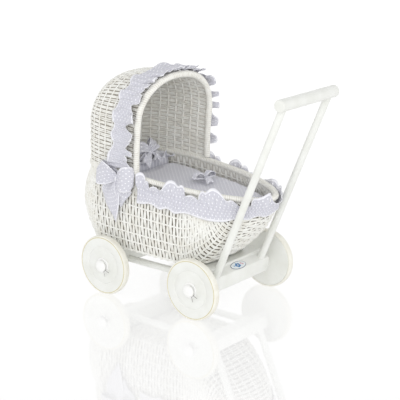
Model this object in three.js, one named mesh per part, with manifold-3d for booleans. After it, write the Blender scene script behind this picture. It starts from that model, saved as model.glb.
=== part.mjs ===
// Wicker doll pram: a woven tub and hood on two wooden beams, four rubber-tyred
// wooden wheels and a dowel push handle, with its padded and frilled bedding.
// Millimetres. +X points to the head end under the hood, +Y to the left, +Z up.
import * as THREE from 'three';
import { mergeVertices } from 'three/addons/utils/BufferGeometryUtils.js';
import Module from 'manifold-3d';

const wasm = await Module();
wasm.setup();

const { clamp, degToRad, lerp, smoothstep } = THREE.MathUtils;

// ---------- driving dimensions ----------
const GAP = 0.3;                 // clearance between pieces that touch

// wheels and axles
const FRONT_AXLE_X = 176;
const REAR_AXLE_X = -103.5;
const TYRE_R = 75;
const DISC_R = 70;
const WHEEL_INNER_Y = 139;       // inner face of a wheel, from the centre plane
const WHEEL_WIDTH = 18;
const AXLE_R = 3.2;
const HUB_R = 19.5;              // flange of the bush on the wheel's outer face
const CAP_R = 15;

// chassis
const BEAM_HALF_LENGTH = 111;
const BEAM_TOP = 110;
const REAR_BEAM_BOTTOM = 60;
const FRONT_BEAM_BOTTOM = 67;
const FRONT_BEAM_BACK = 157;
const FRONT_BEAM_FRONT = 190;
const POST_R = 9;
const POST_Y = 88.5;
const POST_LEAN = degToRad(23.1);
const POST_FOOT = new THREE.Vector3(-127.4, 0, 97.7);   // where a post enters the beam's slope
const POST_SOCKET = 22;          // depth of a post's socket in the rear beam
const GRIP_ALONG_POST = 474.6;   // from a post's foot to the grip's centre line
const GRIP_R = 14.5;
const GRIP_HALF_LENGTH = 109;
const RAIL_R = 8.5;
const RAIL_Y = 80;
const RAIL_Z = 77;
const RAIL_REAR_END = -92;
const RAIL_FRONT_END = 171;

// woven tub
const TUB_BOTTOM = BEAM_TOP + 0.6;
const TUB_MID_X = 80;            // where the foot half meets the head half
const BASE_FOOT_X = -85;
const RIM_FOOT_X = -222;         // centre line of the rim at the foot end
const RIM_HEAD_X = 292;
const RIM_HALF_WIDTH = 120;
const RIM_R = 7.5;
const WALL = 6;
const FLOOR_TOP = TUB_BOTTOM + 5;
const HEAD_POWER = 3.5;          // squareness of the head end's corners

// hood
const HOOD_FRONT_X = 81;         // the mouth's roll at its feet
const HOOD_APEX_X = 58;          // and at its apex
const HOOD_LEG = 121;            // straight part of the arch's legs
const HOOD_RISE = 230;           // the whole arch, to the roll's centre line
const ARCH_POWER = 2.2;
const HOOD_ROLL_R = 8;
const HOOD_SHELL_START = HOOD_ROLL_R + 1;   // behind the roll
const MOUTH_SKEW = 0.1;          // the hand-woven mouth stands a little askew

// ---------- materials ----------
function material(color, roughness, metalness = 0) {
  return new THREE.MeshStandardMaterial({ color, roughness, metalness });
}

const paintedWood = material('#f2f1e8', 0.45);
const paintedWicker = material('#f4f3ea', 0.55);
const rubber = material('#efe9d6', 0.8);
const whitePlastic = material('#f7f7f4', 0.3);
const steel = material('#9a9a96', 0.35, 1);
const dottedCotton = material('#c6c6d2', 0.9);
const whiteCotton = material('#efeff2', 0.9);
const printedLabel = material('#dfe6ee', 0.35);

// ---------- joining and cutting ----------
function toSolid(geometry) {
  const bare = geometry.index ? geometry.toNonIndexed() : geometry.clone();
  bare.deleteAttribute('normal');
  bare.deleteAttribute('uv');
  const merged = mergeVertices(bare, 1e-4);
  const index = merged.index.array;
  const triVerts = [];
  for (let i = 0; i < index.length; i += 3) {
    const [a, b, c] = [index[i], index[i + 1], index[i + 2]];
    if (a !== b && b !== c && c !== a) triVerts.push(a, b, c);
  }
  return new wasm.Manifold(new wasm.Mesh({
    numProp: 3,
    vertProperties: new Float32Array(merged.attributes.position.array),
    triVerts: new Uint32Array(triVerts),
  }));
}

function toGeometry(solid) {
  const mesh = solid.getMesh();
  const geometry = new THREE.BufferGeometry();
  geometry.setAttribute('position', new THREE.BufferAttribute(mesh.vertProperties, 3));
  geometry.setIndex(new THREE.BufferAttribute(mesh.triVerts, 1));
  geometry.computeVertexNormals();
  return geometry;
}

function cut(geometry, ...tools) {
  let solid = toSolid(geometry);
  for (const tool of tools) solid = solid.subtract(toSolid(tool));
  return toGeometry(solid);
}

function keepCommon(geometry, other) {
  return toGeometry(toSolid(geometry).intersect(toSolid(other)));
}

// ---------- shapes ----------
// A skin over rings that hold the same number of points. closed joins the last ring
// to the first; otherwise flat fans close the two ends. The faces are turned outwards.
function loft(rings, closed = false) {
  const triangles = [];
  const count = rings[0].length;
  const spans = closed ? rings.length : rings.length - 1;
  for (let i = 0; i < spans; i += 1) {
    const ring = rings[i];
    const next = rings[(i + 1) % rings.length];
    for (let j = 0; j < count; j += 1) {
      const k = (j + 1) % count;
      triangles.push([ring[j], ring[k], next[k]], [ring[j], next[k], next[j]]);
    }
  }
  if (!closed) {
    const first = rings[0];
    const last = rings.at(-1);
    const middleOf = (ring) => ring.reduce((sum, point) => sum.addScaledVector(point, 1 / count),
      new THREE.Vector3());
    const [firstMiddle, lastMiddle] = [middleOf(first), middleOf(last)];
    for (let j = 0; j < count; j += 1) {
      const k = (j + 1) % count;
      triangles.push([firstMiddle, first[k], first[j]], [lastMiddle, last[j], last[k]]);
    }
  }
  let volume = 0;
  for (const [a, b, c] of triangles) volume += a.dot(new THREE.Vector3().crossVectors(b, c));
  const ordered = volume > 0 ? triangles : triangles.map(([a, b, c]) => [a, c, b]);
  const geometry = new THREE.BufferGeometry().setFromPoints(ordered.flat());
  geometry.computeVertexNormals();
  return geometry;
}

// A round bar between two points.
function bar(from, to, radius, sides = 20) {
  const along = new THREE.Vector3().subVectors(to, from);
  const geometry = new THREE.CylinderGeometry(radius, radius, along.length(), sides);
  const turn = new THREE.Quaternion().setFromUnitVectors(
    new THREE.Vector3(0, 1, 0), along.clone().normalize());
  const middle = new THREE.Vector3().addVectors(from, to).multiplyScalar(0.5);
  return geometry.applyQuaternion(turn).translate(middle.x, middle.y, middle.z);
}

// A piece turned about the Y axis: profile points are [radius, distance along +Y].
function turned(profile, segments = 48) {
  return loft(Array.from({ length: segments }, (_, i) => {
    const angle = (2 * Math.PI * i) / segments;
    return profile.map(([r, y]) => new THREE.Vector3(r * Math.cos(angle), y, r * Math.sin(angle)));
  }), true);
}

// A bar along Y, its outline drawn in the XZ plane.
function alongY(outline, halfLength) {
  return loft([-halfLength, halfLength].map((y) => outline.map(([x, z]) => new THREE.Vector3(x, y, z))));
}

// A bar along X, its outline drawn in the YZ plane.
function alongX(outline, fromX, toX) {
  return loft([fromX, toX].map((x) => outline.map(([y, z]) => new THREE.Vector3(x, y, z))));
}

// A roll of radius r along a row of points; up says which way the section's top faces.
function roll(points, r, sides, closed = false, up = () => new THREE.Vector3(0, 0, 1)) {
  const last = points.length - 1;
  const rings = points.map((point, i) => {
    const before = closed ? points.at(i - 1) : points[Math.max(0, i - 1)];
    const after = closed ? points[(i + 1) % points.length] : points[Math.min(last, i + 1)];
    const along = new THREE.Vector3().subVectors(after, before).normalize();
    const across = new THREE.Vector3().crossVectors(along, up(point)).normalize();
    const top = new THREE.Vector3().crossVectors(across, along);
    return Array.from({ length: sides }, (_, j) => {
      const a = (2 * Math.PI * j) / sides;
      return point.clone().addScaledVector(across, r * Math.cos(a)).addScaledVector(top, r * Math.sin(a));
    });
  });
  return loft(rings, closed);
}

const model = new THREE.Group();
model.name = 'doll_pram';

function add(name, geometry, look) {
  const mesh = new THREE.Mesh(geometry, look);
  mesh.name = name;
  model.add(mesh);
}

const sideSign = { left: 1, right: -1 };
const axleX = { front: FRONT_AXLE_X, rear: REAR_AXLE_X };
const bothSides = (make) => [make(1), make(-1)];

// ---------- beams, rails and handle ----------
const postAxis = new THREE.Vector3(-Math.sin(POST_LEAN), 0, Math.cos(POST_LEAN));
const GRIP_SOCKET_END = GRIP_ALONG_POST - 4;

function onPost(distance, y) {
  return POST_FOOT.clone().addScaledVector(postAxis, distance).setY(y);
}

function alongRail(fromX, toX, side, radius) {
  return bar(new THREE.Vector3(fromX, side * RAIL_Y, RAIL_Z), new THREE.Vector3(toX, side * RAIL_Y, RAIL_Z),
    radius);
}

function axleBore(x) {
  return bar(new THREE.Vector3(x, -150, TYRE_R), new THREE.Vector3(x, 150, TYRE_R), AXLE_R + GAP);
}

// Wood screws hold the tub's floor down on both beams.
const SCREW_R = 2;
const SCREW_HEAD_R = 5;
const SCREW_DEPTH = 14;
const SCREW_Y = 50;
const screwX = { front: 172, rear: -66 };

function screwHole(x, side) {
  return bar(new THREE.Vector3(x, side * SCREW_Y, BEAM_TOP - SCREW_DEPTH - GAP),
    new THREE.Vector3(x, side * SCREW_Y, BEAM_TOP + 20), SCREW_R + GAP, 12);
}

// The slope that carries the posts is square to them; the front lower edge is cut away.
function makeRearBeam() {
  const end = BEAM_HALF_LENGTH;
  const bottom = REAR_BEAM_BOTTOM;
  const section = [[-136, bottom], [-98, bottom], [-58, 94], [-58, BEAM_TOP],
    [-112.5, BEAM_TOP], [-112.5, 104], [-136, 94]];
  const front = [[12 - end, bottom], [end - 12, bottom], [end, bottom + 11],
    [end, BEAM_TOP + 1], [-end, BEAM_TOP + 1], [-end, bottom + 11]];
  const block = keepCommon(alongY(section, end), alongX(front, -150, -50));
  return cut(block, axleBore(REAR_AXLE_X),
    ...bothSides((s) => bar(onPost(-POST_SOCKET - GAP, s * POST_Y), onPost(30, s * POST_Y), POST_R + GAP)),
    ...bothSides((s) => alongRail(RAIL_REAR_END - GAP, -40, s, RAIL_R + GAP)),
    ...bothSides((s) => screwHole(screwX.rear, s)));
}

function makeFrontBeam() {
  const [back, front, bottom] = [FRONT_BEAM_BACK, FRONT_BEAM_FRONT, FRONT_BEAM_BOTTOM];
  const ease = 3;
  const section = [[back, bottom], [front - ease, bottom], [front, bottom + ease],
    [front, BEAM_TOP - ease], [front - ease, BEAM_TOP], [back, BEAM_TOP]];
  return cut(alongY(section, BEAM_HALF_LENGTH), axleBore(FRONT_AXLE_X),
    ...bothSides((s) => alongRail(back - 20, RAIL_FRONT_END + GAP, s, RAIL_R + GAP)),
    ...bothSides((s) => screwHole(screwX.front, s)));
}

function makeGrip() {
  const ease = 3;
  const [r, half] = [GRIP_R, GRIP_HALF_LENGTH];
  const centre = onPost(GRIP_ALONG_POST, 0);
  const ring = (radius, y) => Array.from({ length: 24 }, (_, i) => {
    const a = (Math.PI * i) / 12;
    return new THREE.Vector3(centre.x + radius * Math.cos(a), y, centre.z + radius * Math.sin(a));
  });
  const grip = loft([ring(r - ease, -half), ring(r, ease - half), ring(r, half - ease), ring(r - ease, half)]);
  return cut(grip, ...bothSides((s) => bar(onPost(GRIP_ALONG_POST - 30, s * POST_Y),
    onPost(GRIP_SOCKET_END + GAP, s * POST_Y), POST_R + GAP)));
}

// An oval plate on the rear beam's slope, between the posts.
function makeLabel() {
  const thickness = 0.8;
  const plate = new THREE.CylinderGeometry(1, 1, thickness, 28);
  plate.scale(12.5, 1, 27).rotateX(Math.PI / 2);
  const slope = new THREE.Vector3(-124.25, 0, 99);      // middle of the slope
  const turn = new THREE.Quaternion().setFromUnitVectors(new THREE.Vector3(0, 0, 1), postAxis);
  const centre = slope.addScaledVector(postAxis, thickness / 2 + GAP);
  return plate.applyQuaternion(turn).translate(centre.x, 0, centre.z);
}

add('rear_beam', makeRearBeam(), paintedWood);
add('front_beam', makeFrontBeam(), paintedWood);
add('handle_grip', makeGrip(), paintedWood);
add('label_plate', makeLabel(), printedLabel);
for (const [side, sign] of Object.entries(sideSign)) {
  const post = bar(onPost(-POST_SOCKET, sign * POST_Y), onPost(GRIP_SOCKET_END, sign * POST_Y), POST_R);
  add(`handle_post_${side}`, post, paintedWood);
  add(`rail_${side}`, alongRail(RAIL_REAR_END, RAIL_FRONT_END, sign, RAIL_R), paintedWood);
}

// ---------- wheels, axles and their fittings ----------
// Each is made for the left end of an axle, about the Y axis.
const WHEEL_SEGMENTS = 32;
const SPACER_R = 9;
const BUSH_R = 11;
const CLIP_Y = 161.2;            // plane of the retaining clip, in a groove of the axle
const AXLE_END_Y = 166;
const BUSH_INNER_Y = WHEEL_INNER_Y - 0.5;
const WHEEL_OUTER_Y = WHEEL_INNER_Y + WHEEL_WIDTH;

function makeAxle() {
  const [groove, waist] = [1.3, AXLE_R - 1.3];
  const rings = [];
  const ring = (r, y) => rings.push(Array.from({ length: 12 }, (_, i) => {
    const a = (Math.PI * i) / 6;
    return new THREE.Vector3(r * Math.cos(a), y, r * Math.sin(a));
  }));
  const half = [[AXLE_R, CLIP_Y - groove], [waist, CLIP_Y - groove], [waist, CLIP_Y + groove],
    [AXLE_R, CLIP_Y + groove], [AXLE_R, AXLE_END_Y - 0.6], [AXLE_R - 0.6, AXLE_END_Y]];
  for (const [r, y] of half.toReversed()) ring(r, -y);
  for (const [r, y] of half) ring(r, y);
  return loft(rings);
}

function makeDisc() {
  const [inner, outer] = [WHEEL_INNER_Y, WHEEL_OUTER_Y];
  const ease = 1.5;
  const groove = 47;
  return turned([
    [BUSH_R + GAP, inner], [DISC_R - ease, inner], [DISC_R, inner + ease], [DISC_R, outer - ease],
    [DISC_R - ease, outer], [groove + 1.2, outer], [groove, outer - 1], [groove - 1.2, outer],
    [BUSH_R + GAP, outer],
  ], WHEEL_SEGMENTS);
}

function makeTyre() {
  const middle = (WHEEL_INNER_Y + WHEEL_OUTER_Y) / 2;
  const half = WHEEL_WIDTH / 2 - 0.6;
  const seat = DISC_R + GAP;
  const profile = [[seat, middle + half - 1], [seat, middle - half + 1]];
  const steps = 6;
  for (let i = 0; i <= steps; i += 1) {
    const t = Math.PI * (i / steps - 0.5);
    profile.push([seat + 0.7 + (TYRE_R - seat - 0.7) * Math.cos(t) ** 0.7, middle + half * Math.sin(t)]);
  }
  return turned(profile, WHEEL_SEGMENTS);
}

function makeBush() {
  const face = WHEEL_OUTER_Y + GAP;
  return turned([[AXLE_R + GAP, BUSH_INNER_Y], [BUSH_R, BUSH_INNER_Y], [BUSH_R, face], [HUB_R, face],
    [HUB_R, face + 1], [HUB_R - 1.2, face + 2], [AXLE_R + GAP, face + 2]], 16);
}

function makeSpacer() {
  const [inner, outer] = [BEAM_HALF_LENGTH + GAP, BUSH_INNER_Y - GAP];
  return turned([[AXLE_R + GAP, inner], [SPACER_R, inner], [SPACER_R, outer], [AXLE_R + GAP, outer]], 16);
}

function makeCap() {
  const base = CLIP_Y + 1.2;
  const rise = 9.5;
  const socket = AXLE_R + GAP;
  const profile = [[socket, base], [CAP_R, base]];
  const steps = 4;
  for (let i = 0; i < steps; i += 1) {
    const t = (Math.PI / 2) * (i / steps);
    profile.push([CAP_R * Math.cos(t), base + 2 + (rise - 2) * Math.sin(t)]);
  }
  const rings = profile.map(([r, y]) => Array.from({ length: 20 }, (_, i) => {
    const a = (Math.PI * i) / 10;
    return new THREE.Vector3(r * Math.cos(a), y, r * Math.sin(a));
  }));
  const dome = loft(rings.slice(1));
  const bore = bar(new THREE.Vector3(0, base - 5, 0), new THREE.Vector3(0, AXLE_END_Y + 0.5, 0), socket, 12);
  return cut(dome, bore);
}

// A hairpin of spring wire in the axle's groove; its two splayed ends show below the cap.
function makeClip() {
  const wire = 0.75;
  const leg = AXLE_R - 0.1;
  const half = [[leg + 6, 26], [leg + 1.5, 18], [leg, 12], [leg, 0], [leg - 0.9, -5]];
  const mirrored = half.toReversed().map(([across, down]) => [-across, down]);
  const points = [...half, [0, -7.5], ...mirrored].map(([x, z]) => new THREE.Vector3(x, 0, -z));
  const path = new THREE.CatmullRomCurve3(points).getSpacedPoints(16);
  const clip = roll(path, wire, 5, false, () => new THREE.Vector3(0, 1, 0));
  return clip.rotateY(degToRad(42)).translate(0, CLIP_Y, 0);
}

function placeOnAxle(geometry, end, side) {
  const placed = side === 'right' ? geometry.clone().rotateZ(Math.PI) : geometry.clone();
  return placed.translate(axleX[end], 0, TYRE_R);
}

const fittings = [
  ['wheel_disc', makeDisc(), paintedWood],
  ['tyre', makeTyre(), rubber],
  ['wheel_bush', makeBush(), whitePlastic],
  ['axle_spacer', makeSpacer(), whitePlastic],
  ['hub_cap', makeCap(), whitePlastic],
  ['axle_clip', makeClip(), steel],
];
for (const end of ['front', 'rear']) {
  add(`${end}_axle`, placeOnAxle(makeAxle(), end, 'left'), steel);
  for (const side of ['left', 'right']) {
    for (const [piece, geometry, look] of fittings) {
      add(`${piece}_${end}_${side}`, placeOnAxle(geometry, end, side), look);
    }
  }
}

// ---------- woven tub ----------
// Height of the rim's centre line: it climbs from the foot towards the hood.
function rimHeight(x) {
  return 284 + 25 * clamp((x - RIM_FOOT_X) / 345, 0, 1) + 2 * smoothstep(x, 120, 290);
}

// Reads a smooth curve through a few stations, from 0 at the floor to 1 at the rim.
function readProfile(stations, t) {
  const curve = new THREE.SplineCurve(stations.map(([a, b]) => new THREE.Vector2(a, b)));
  let [low, high] = [0, 1];
  for (let i = 0; i < 24; i += 1) {
    const middle = (low + high) / 2;
    if (curve.getPoint(middle).x < t) low = middle;
    else high = middle;
  }
  return curve.getPoint(high).y;
}

const halfWidthStations = [[0, 114], [0.2, 122], [0.5, 127.5], [0.8, 125], [1, RIM_HALF_WIDTH]];
const headStations = [[0, 286], [0.25, 309], [0.5, 321], [0.8, 309], [1, RIM_HEAD_X]];

// One ring of the tub's outer face at t, 0 at the floor and 1 at the rim's centre line.
// inset draws it in from the face all round.
function tubRing(t, inset = 0) {
  const around = 40;
  const halfWidth = readProfile(halfWidthStations, t) - inset;
  const head = readProfile(headStations, t) - inset;
  const foot = BASE_FOOT_X + (RIM_FOOT_X - BASE_FOOT_X) * (1 - (1 - t) ** 1.7) + inset;
  return Array.from({ length: around }, (_, i) => {
    const angle = (2 * Math.PI * i) / around;
    const [c, s] = [Math.cos(angle), Math.sin(angle)];
    const power = 2 / (c >= 0 ? HEAD_POWER : lerp(4.2, 1.9, t));
    const reach = c >= 0 ? head - TUB_MID_X : TUB_MID_X - foot;
    const x = TUB_MID_X + Math.sign(c) * reach * Math.abs(c) ** power;
    const y = halfWidth * Math.sign(s) * Math.abs(s) ** power;
    return new THREE.Vector3(x, y, TUB_BOTTOM + t * (rimHeight(x) - TUB_BOTTOM));
  });
}

const lifted = (ring, height) => ring.map((p) => p.clone().setZ(p.z + height));

function makeTubWall() {
  const heights = [0, 0.14, 0.34, 0.56, 0.78, 1];
  const wallRing = (t, inset) => (t === 1 ? lifted(tubRing(t, inset), -RIM_R - GAP) : tubRing(t, inset));
  const outer = heights.map((t) => wallRing(t, 0));
  const inner = heights.toReversed().map((t) => wallRing(t, WALL));
  return loft([...outer, ...inner], true);
}

function makeTubFloor() {
  const bottom = tubRing(0, WALL + GAP);
  const top = bottom.map((p) => p.clone().setZ(FLOOR_TOP));
  return cut(loft([bottom, top]), ...bothSides((s) => screwHole(screwX.rear, s)),
    ...bothSides((s) => screwHole(screwX.front, s)));
}

function makeScrew() {
  const head = FLOOR_TOP + GAP;
  const tip = BEAM_TOP - SCREW_DEPTH;
  const rings = [[0.4, tip], [SCREW_R, tip + 4], [SCREW_R, head], [SCREW_HEAD_R, head],
    [SCREW_HEAD_R, head + 0.8], [SCREW_HEAD_R - 2, head + 2.2]].map(([r, z]) => (
    Array.from({ length: 12 }, (_, i) => {
      const a = (Math.PI * i) / 6;
      return new THREE.Vector3(r * Math.cos(a), r * Math.sin(a), z);
    })));
  return loft(rings);
}

add('tub_wall', makeTubWall(), paintedWicker);
add('tub_floor', makeTubFloor(), paintedWicker);
add('tub_rim', roll(tubRing(1), RIM_R, 8, true), paintedWicker);
for (const [end, x] of Object.entries(screwX)) {
  for (const [side, sign] of Object.entries(sideSign)) {
    add(`tub_screw_${end}_${side}`, makeScrew().translate(x, sign * SCREW_Y, 0), steel);
  }
}

// ---------- hood ----------
// A point of the mouth's arch: u runs from the left foot over the apex to the right foot.
// grow moves it outwards from the roll's centre line. Height is above the hood's foot.
function archPoint(u, grow) {
  const halfWidth = RIM_HALF_WIDTH + grow;
  const crown = HOOD_RISE - HOOD_LEG + grow;
  const legShare = 0.28;
  const side = u < 0.5 ? 1 : -1;
  const fromFoot = Math.min(u, 1 - u);
  if (fromFoot < legShare) return { y: side * halfWidth, height: HOOD_LEG * (fromFoot / legShare) };
  const angle = (Math.PI / 2) * ((fromFoot - legShare) / (0.5 - legShare));
  return {
    y: side * halfWidth * Math.cos(angle) ** (2 / ARCH_POWER),
    height: HOOD_LEG + crown * Math.sin(angle) ** (2 / ARCH_POWER),
  };
}

// The mouth's roll leans back towards its apex.
function mouthX({ y, height }) {
  return lerp(HOOD_FRONT_X, HOOD_APEX_X, (height / HOOD_RISE) ** 2) + MOUTH_SKEW * y;
}

// A point of the hood: back runs from 0 at the mouth to 1 at the back wall.
function hoodPoint(u, back, grow) {
  const arch = archPoint(u, grow);
  const scale = (1 - back ** HEAD_POWER) ** (1 / HEAD_POWER);
  const x = lerp(mouthX(arch) + HOOD_SHELL_START, RIM_HEAD_X + grow, back);
  const foot = rimHeight(x) + RIM_R + 1;
  return new THREE.Vector3(x, arch.y * scale, foot + arch.height * scale);
}

const ARCH_STEPS = 24;
const archParameters = Array.from({ length: ARCH_STEPS + 1 }, (_, i) => i / ARCH_STEPS);

function makeHoodShell() {
  const backs = [0, 0.4, 0.65, 0.82, 0.92, 0.97, 0.995, 0.99999];
  const outer = loft(backs.map((b) => archParameters.map((u) => hoodPoint(u, b, WALL / 2))));
  // the hollow runs on through the mouth and through the open underside
  const hollow = loft([-0.15, ...backs].map((b) => {
    const arch = archParameters.map((u) => hoodPoint(u, Math.max(0, b), -WALL / 2));
    const ring = [arch[0].clone(), ...arch, arch.at(-1).clone()];
    ring[0].z -= 12;
    ring.at(-1).z -= 12;
    if (b < 0) for (const point of ring) point.x -= 30;
    return ring;
  }));
  return cut(outer, hollow);
}

function makeHoodRoll() {
  const points = archParameters.map((u) => {
    const arch = archPoint(u, 0);
    const x = mouthX(arch);
    return new THREE.Vector3(x, arch.y, rimHeight(x) + RIM_R + 1.5 + arch.height);
  });
  return roll(points, HOOD_ROLL_R, 8, false, () => new THREE.Vector3(1, 0, 0));
}

add('hood_shell', makeHoodShell(), paintedWicker);
add('hood_roll', makeHoodRoll(), paintedWicker);

// ---------- frills and bows ----------
// A gathered band over the hood behind its mouth, fullest at the top.
function makeHoodFrill() {
  const [front, back] = [0.01, 0.24];
  const [clear, thin, full] = [1.2, 10, 22];
  const first = 0.02;
  return loft(archParameters.map((share) => {
    const u = lerp(first, 1 - first, share);
    const inner = WALL / 2 + clear;
    const outer = inner + lerp(thin, full, smoothstep(Math.min(u, 1 - u), 0.2, 0.45));
    return [hoodPoint(u, front, inner), hoodPoint(u, front, outer),
      hoodPoint(u, back, outer), hoodPoint(u, back, inner)];
  }));
}

// A gathered band outside the rim, from one end of the hood's mouth round the foot to the other.
function makeTubFrill() {
  const thick = 7;
  const [offRim, offWall] = [RIM_R + 2, 2];
  const [above, below] = [6, -9];
  const inner = [lifted(tubRing(1, -offRim), above), lifted(tubRing(1, -offRim), below),
    tubRing(0.84, -offWall), tubRing(0.72, -offWall)];
  const outer = [tubRing(0.72, -offWall - thick), tubRing(0.84, -offWall - thick),
    lifted(tubRing(1, -offRim - thick), below), lifted(tubRing(1, -offRim - thick), above)];
  const edges = [...inner, ...outer];
  const rings = inner[0].map((_, i) => edges.map((edge) => edge[i]));
  return loft(rings.filter((ring) => ring[0].x < HOOD_FRONT_X + 1));
}

// A tied bow at each foot of the hood: two loops and two hanging tails.
function makeSideBow(sign) {
  const knot = new THREE.Vector3(142, 0, 300);
  const outline = [[-56, -26], [-40, 12], [0, 8], [34, 26], [70, 10], [62, -28], [46, -84],
    [6, -98], [2, -30], [-10, -14]];
  const [inner, outer] = [140, 152];
  return loft([inner, outer].map((y) => outline.map(([x, z]) => (
    new THREE.Vector3(knot.x + x, sign * y, knot.z + z)))));
}

add('hood_frill', makeHoodFrill(), dottedCotton);
add('tub_frill', makeTubFrill(), dottedCotton);
for (const [side, sign] of Object.entries(sideSign)) add(`side_bow_${side}`, makeSideBow(sign), dottedCotton);

// ---------- bedding ----------
const SOFT_CLEAR = 5;            // bedding stays clear of the woven wall

function makeMattress() {
  const inset = WALL + SOFT_CLEAR;
  return loft([tubRing(0.06, inset + 6), tubRing(0.1, inset), tubRing(0.24, inset), tubRing(0.28, inset + 6)]);
}

const PILLOW_FOOT_X = 176;       // where the pillow meets the duvet

function makeDuvet() {
  const inset = WALL + SOFT_CLEAR;
  const domed = (ring, rise) => ring.map((p) => p.clone().setZ(p.z + rise));
  const pad = loft([tubRing(0.3, inset + 8), tubRing(0.36, inset), tubRing(0.8, inset),
    domed(tubRing(0.86, inset + 10), 2), domed(tubRing(0.86, inset + 60), 9)]);
  const room = alongX([[-200, 100], [200, 100], [200, 400], [-200, 400]], -300, PILLOW_FOOT_X - 2);
  return keepCommon(pad, room);
}

function makePillow() {
  const inset = WALL + SOFT_CLEAR;
  const pad = loft([tubRing(0.3, inset + 8), tubRing(0.36, inset), tubRing(0.9, inset),
    lifted(tubRing(1, inset + 4), 4), lifted(tubRing(1, inset + 30), 14)]);
  const room = alongX([[-200, 100], [200, 100], [200, 400], [-200, 400]], PILLOW_FOOT_X + 2, 400);
  return keepCommon(pad, room);
}

function makeDuvetBow() {
  const outline = [[-8, -38], [10, -30], [3, 0], [14, 34], [-6, 40], [-3, 6], [-26, 12], [-26, -8], [-4, -5]];
  return loft([288, 296].map((z) => outline.map(([x, y]) => new THREE.Vector3(x - 12, y, z))));
}

add('mattress', makeMattress(), whiteCotton);
add('duvet', makeDuvet(), dottedCotton);
add('pillow', makePillow(), dottedCotton);
add('duvet_bow', makeDuvetBow(), dottedCotton);

// The origin is under the middle of the pram, on the ground.
const box = new THREE.Box3().setFromObject(model);
model.position.x = -(box.min.x + box.max.x) / 2;

export default model;
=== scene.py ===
import math
import bmesh
import bpy
import numpy as np
from mathutils import Matrix, Vector


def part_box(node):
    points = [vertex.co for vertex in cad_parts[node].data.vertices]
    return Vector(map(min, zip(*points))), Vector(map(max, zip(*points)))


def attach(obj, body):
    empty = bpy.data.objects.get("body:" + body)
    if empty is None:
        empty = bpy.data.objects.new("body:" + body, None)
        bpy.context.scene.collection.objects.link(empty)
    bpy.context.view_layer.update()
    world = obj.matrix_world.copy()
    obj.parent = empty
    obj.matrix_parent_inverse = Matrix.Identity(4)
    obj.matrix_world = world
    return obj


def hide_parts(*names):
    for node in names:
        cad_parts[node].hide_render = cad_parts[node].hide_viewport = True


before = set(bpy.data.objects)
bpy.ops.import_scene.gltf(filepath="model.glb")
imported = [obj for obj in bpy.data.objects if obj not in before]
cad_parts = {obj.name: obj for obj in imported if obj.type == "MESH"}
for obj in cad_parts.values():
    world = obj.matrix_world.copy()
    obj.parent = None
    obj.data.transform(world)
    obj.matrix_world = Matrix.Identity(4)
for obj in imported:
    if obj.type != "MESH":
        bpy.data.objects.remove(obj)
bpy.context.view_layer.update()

mm = 0.001
scene = bpy.context.scene
scene.view_settings.view_transform = "Standard"


def middleOf(node):
    low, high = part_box(node)
    return (low + high) / 2 / mm


# shapes are worked out in millimetres, X from the pram's own datum, and placed by the front axle
datumFrontAxle = 176.0
frontAxle, rearAxle = middleOf("front_axle"), middleOf("rear_axle")
shiftX = frontAxle.x - datumFrontAxle


def placed(points):
    return (np.asarray(points, float) + [shiftX, 0, 0]) * mm


def smooth(value, low, high):
    t = np.clip((value - low) / (high - low), 0, 1)
    return t * t * (3 - 2 * t)


def mixed(a, b, share):
    return a + (b - a) * share


def unit(vectors):
    return vectors / np.maximum(np.linalg.norm(vectors, axis=-1, keepdims=True), 1e-9)


def runAlong(points):
    return np.concatenate([[0], np.cumsum(np.linalg.norm(np.diff(points, axis=0), axis=1))])


def farthestInside(isInside, count, limit, rounds):         # halves the gap along each ray
    low, high = np.zeros(count), np.full(count, limit)
    for _ in range(rounds):
        middle = (low + high) / 2
        within = isInside(middle)
        low, high = np.where(within, middle, low), np.where(within, high, middle)
    return low


def linked(name, data):
    thing = bpy.data.objects.new(name, data)
    scene.collection.objects.link(thing)
    return thing


def meshOf(name, bm):
    mesh = bpy.data.meshes.new(name)
    bm.to_mesh(mesh)
    bm.free()
    return mesh


def aimedAt(thing, place, aim):
    thing.location = place
    thing.rotation_euler = (aim - place).to_track_quat("-Z", "Y").to_euler()


camera = {"place": (-1885.3, 2321.1, 1127.7), "aim": (-5.8, 0.0, 241.0), "lens": 115.15}


def makeCamera():
    data = bpy.data.cameras.new("camera")
    data.lens = camera["lens"]
    data.sensor_width = 36
    data.clip_end = 50
    scene.camera = linked("camera", data)
    aimedAt(scene.camera, *(Vector(placed(camera[key])) for key in ("place", "aim")))


makeCamera()
print("camera set")


# materials
def linearColour(hexCode):
    channels = [int(hexCode[i:i + 2], 16) / 255 for i in (1, 3, 5)]
    return [c / 12.92 if c <= 0.04045 else ((c + 0.055) / 1.055) ** 2.4 for c in channels] + [1]


def addNode(tree, kind, inputs, **settings):        # an input may be a value, a socket or a whole node
    node = tree.nodes.new(kind)
    for key, value in settings.items():
        setattr(node, key, value)
    for socket, value in inputs.items():
        if isinstance(value, bpy.types.Node):
            value = value.outputs[0]
        if isinstance(value, bpy.types.NodeSocket):
            tree.links.new(value, node.inputs[socket])
        else:
            node.inputs[socket].default_value = value
    return node


def newMaterial(name, finish):
    material = bpy.data.materials.new(name)
    material.use_nodes = True
    tree = material.node_tree
    shader = tree.nodes["Principled BSDF"]
    for socket, value in finish.items():
        shader.inputs[socket].default_value = value
    return material, tree, shader


def perMetre(sizeMm):
    return 1 / (sizeMm * mm)


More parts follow.
